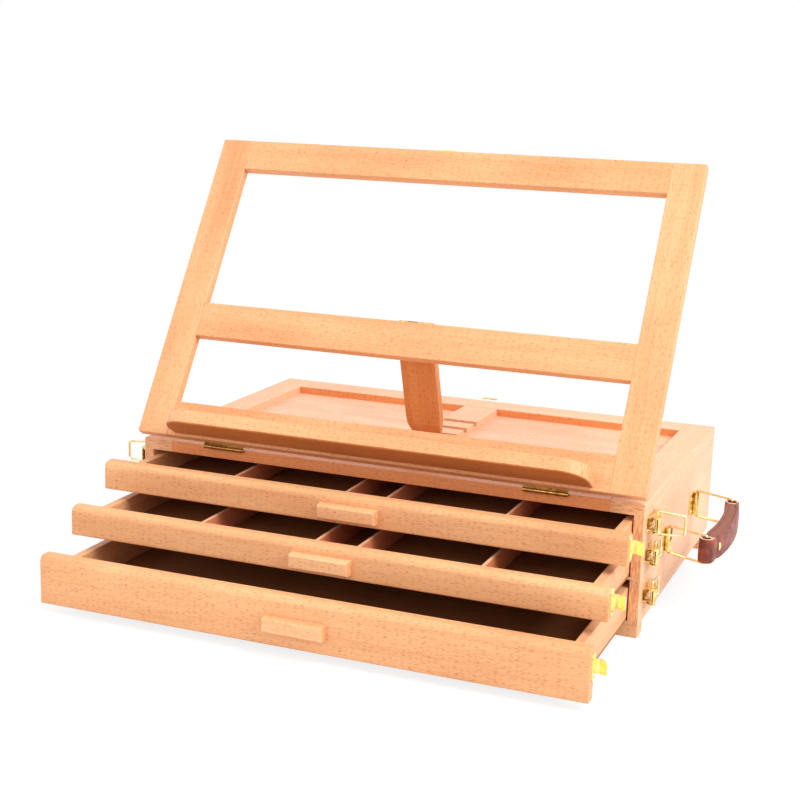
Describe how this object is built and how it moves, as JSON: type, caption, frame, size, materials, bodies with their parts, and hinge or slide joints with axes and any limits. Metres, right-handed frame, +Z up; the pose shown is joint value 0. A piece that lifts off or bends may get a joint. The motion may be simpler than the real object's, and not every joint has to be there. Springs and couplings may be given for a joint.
{
  "type": "table box easel",
  "caption": "Shallow wooden art box with three pull-out drawers, toggle latches, a side carrying handle and a hinged easel frame on a prop leg.",
  "frame": {"origin": "middle of the front foot rail's underside, on the table", "axes": "+X to the right along the drawer fronts, towards the side with the carrying handle; +Y from the drawer fronts to the back; +Z up"},
  "size_m": [0.494, 0.4449, 0.3423],
  "materials": {
    "case_wood_long": "satin oiled beech, grain front to back",
    "case_wood_cross": "satin oiled beech, grain side to side",
    "thin_board": "thin satin board",
    "drawer_front_wood": "satin oiled beech, grain side to side",
    "drawer_wall_wood": "plain oiled beech",
    "drawer_floor_board": "dark thin board",
    "easel_stile_wood": "satin oiled beech, grain along the stile",
    "easel_rail_wood": "satin oiled beech, grain side to side",
    "prop_wood": "satin oiled beech, grain along the leg",
    "brass_sheet": "polished brass plating",
    "brass_wire": "polished brass plating",
    "brass_screws": "bright brass",
    "grip_leather": "smooth waxed leather"
  },
  "bodies": {
    "case": {"case_side_left": "case_wood_long", "case_side_right": "case_wood_long", "top_rails": "case_wood_cross", "top_side_stiles": "case_wood_long", "top_centre_stile": "case_wood_long", "top_panels": "thin_board", "back_panel": "case_wood_cross", "bottom_panel": "thin_board", "case_shelves": "thin_board", "foot_rails": "case_wood_cross", "latch_plates": "brass_sheet", "handle_brackets": "brass_sheet", "case_hinge_leaves": "brass_sheet", "case_screws": "brass_screws", "pivot_pins": "brass_screws"},
    "easel": {"easel_stiles": "easel_stile_wood", "easel_top_rail": "easel_rail_wood", "easel_middle_rail": "easel_rail_wood", "easel_bottom_rail": "easel_rail_wood", "easel_ledge": "easel_rail_wood", "easel_hinge_leaves": "brass_sheet", "easel_keeper": "brass_sheet", "easel_screws": "brass_screws"},
    "prop": {"prop_leg": "prop_wood", "prop_hinge_leaf": "brass_sheet"},
    "front_loop": {"handle_loop_front": "brass_wire"},
    "rear_loop": {"handle_loop_rear": "brass_wire"},
    "grip": {"handle_grip": "grip_leather", "handle_rivets": "brass_screws"},
    "top_drawer": {"top_drawer_front": "drawer_front_wood", "top_drawer_pull": "drawer_front_wood", "top_drawer_walls": "drawer_wall_wood", "top_drawer_floor": "drawer_floor_board", "top_drawer_keepers": "brass_sheet", "top_drawer_partitions": "drawer_wall_wood"},
    "middle_drawer": {"middle_drawer_front": "drawer_front_wood", "middle_drawer_pull": "drawer_front_wood", "middle_drawer_walls": "drawer_wall_wood", "middle_drawer_floor": "drawer_floor_board", "middle_drawer_keepers": "brass_sheet", "middle_drawer_partitions": "drawer_wall_wood"},
    "bottom_drawer": {"bottom_drawer_front": "drawer_front_wood", "bottom_drawer_pull": "drawer_front_wood", "bottom_drawer_walls": "drawer_wall_wood", "bottom_drawer_floor": "drawer_floor_board", "bottom_drawer_keepers": "brass_sheet"},
    "top_left_lever": {"latch_lever_top_left": "brass_sheet"},
    "top_left_bail": {"latch_bail_top_left": "brass_wire"},
    "top_right_lever": {"latch_lever_top_right": "brass_sheet"},
    "top_right_bail": {"latch_bail_top_right": "brass_wire"},
    "middle_left_lever": {"latch_lever_middle_left": "brass_sheet"},
    "middle_left_bail": {"latch_bail_middle_left": "brass_wire"},
    "middle_right_lever": {"latch_lever_middle_right": "brass_sheet"},
    "middle_right_bail": {"latch_bail_middle_right": "brass_wire"},
    "bottom_left_lever": {"latch_lever_bottom_left": "brass_sheet"},
    "bottom_left_bail": {"latch_bail_bottom_left": "brass_wire"},
    "bottom_right_lever": {"latch_lever_bottom_right": "brass_sheet"},
    "bottom_right_bail": {"latch_bail_bottom_right": "brass_wire"},
    "back_lever": {"latch_lever_back": "brass_sheet"},
    "back_bail": {"latch_bail_back": "brass_wire"}
  },
  "joints": [
    {"name": "top_drawer_slide", "type": "slide", "parent": "case", "child": "top_drawer", "axis": [0, -1, 0], "range_m": [-0.0459, 0.1541]},
    {"name": "middle_drawer_slide", "type": "slide", "parent": "case", "child": "middle_drawer", "axis": [0, -1, 0], "range_m": [-0.093, 0.107]},
    {"name": "bottom_drawer_slide", "type": "slide", "parent": "case", "child": "bottom_drawer", "axis": [0, -1, 0], "range_m": [-0.1351, 0.0649]},
    {"name": "easel_fold", "type": "hinge", "parent": "case", "child": "easel", "pos_m": [0, -0.01, 0.1035], "axis": [1, 0, 0], "range_deg": [-57.5, 0]},
    {"name": "prop_fold", "type": "hinge", "parent": "easel", "child": "prop", "pos_m": [0, 0.05641, 0.20792], "axis": [1, 0, 0], "range_deg": [-0.5, 129]},
    {"name": "handle_swing", "type": "hinge", "parent": "case", "child": "front_loop", "pos_m": [0.2134, 0.0705, 0.0553], "axis": [0, 0, -1], "range_deg": [-99, 34]},
    {"name": "grip_turn", "type": "hinge", "parent": "front_loop", "child": "grip", "pos_m": [0.24531, 0.05662, 0.0553], "axis": [0, 0, -1], "range_deg": [-34.5, 99.5]},
    {"name": "rear_loop_swing", "type": "hinge", "parent": "case", "child": "rear_loop", "pos_m": [0.2134, 0.1805, 0.0553], "axis": [0, 0, -1], "range_deg": [-99.5, 34.5]},
    {"name": "top_left_lever_turn", "type": "hinge", "parent": "case", "child": "top_left_lever", "pos_m": [-0.2165, 0.0052, 0.0854], "axis": [0, 0, 1], "range_deg": [0, 110]},
    {"name": "top_left_bail_turn", "type": "hinge", "parent": "top_left_lever", "child": "top_left_bail", "pos_m": [-0.2155, 0.0112, 0.0854], "axis": [0, 0, -1], "range_deg": [-90, 90]},
    {"name": "top_right_lever_turn", "type": "hinge", "parent": "case", "child": "top_right_lever", "pos_m": [0.2165, 0.0052, 0.0854], "axis": [0, 0, -1], "range_deg": [0, 110]},
    {"name": "top_right_bail_turn", "type": "hinge", "parent": "top_right_lever", "child": "top_right_bail", "pos_m": [0.2155, 0.0112, 0.0854], "axis": [0, 0, 1], "range_deg": [-90, 90]},
    {"name": "middle_left_lever_turn", "type": "hinge", "parent": "case", "child": "middle_left_lever", "pos_m": [-0.2165, 0.0052, 0.061], "axis": [0, 0, 1], "range_deg": [0, 110]},
    {"name": "middle_left_bail_turn", "type": "hinge", "parent": "middle_left_lever", "child": "middle_left_bail", "pos_m": [-0.2155, 0.0112, 0.061], "axis": [0, 0, -1], "range_deg": [-180, 0]},
    {"name": "middle_right_lever_turn", "type": "hinge", "parent": "case", "child": "middle_right_lever", "pos_m": [0.2165, 0.0052, 0.061], "axis": [0, 0, -1], "range_deg": [0, 110]},
    {"name": "middle_right_bail_turn", "type": "hinge", "parent": "middle_right_lever", "child": "middle_right_bail", "pos_m": [0.2155, 0.0112, 0.061], "axis": [0, 0, 1], "range_deg": [-180, 0]},
    {"name": "bottom_left_lever_turn", "type": "hinge", "parent": "case", "child": "bottom_left_lever", "pos_m": [-0.2165, 0.0052, 0.0302], "axis": [0, 0, 1], "range_deg": [0, 110]},
    {"name": "bottom_left_bail_turn", "type": "hinge", "parent": "bottom_left_lever", "child": "bottom_left_bail", "pos_m": [-0.2155, 0.0112, 0.0302], "axis": [0, 0, -1], "range_deg": [-180, 0]},
    {"name": "bottom_right_lever_turn", "type": "hinge", "parent": "case", "child": "bottom_right_lever", "pos_m": [0.2165, 0.0052, 0.0302], "axis": [0, 0, -1], "range_deg": [0, 110]},
    {"name": "bottom_right_bail_turn", "type": "hinge", "parent": "bottom_right_lever", "child": "bottom_right_bail", "pos_m": [0.2155, 0.0112, 0.0302], "axis": [0, 0, 1], "range_deg": [-180, 0]},
    {"name": "back_lever_turn", "type": "hinge", "parent": "case", "child": "back_lever", "pos_m": [-0.0067, 0.271, 0.0906], "axis": [1, 0, 0], "range_deg": [0, 60]},
    {"name": "back_bail_turn", "type": "hinge", "parent": "back_lever", "child": "back_bail", "pos_m": [-0.0067, 0.27, 0.0846], "axis": [-1, 0, 0], "range_deg": [-36, 144]}
  ],
  "couplings": [
    {"joint": "prop_fold", "follows": "easel_fold", "ratio": -2.2348},
    {"joint": "grip_turn", "follows": "handle_swing", "ratio": -1},
    {"joint": "rear_loop_swing", "follows": "handle_swing", "ratio": 1}
  ]
}
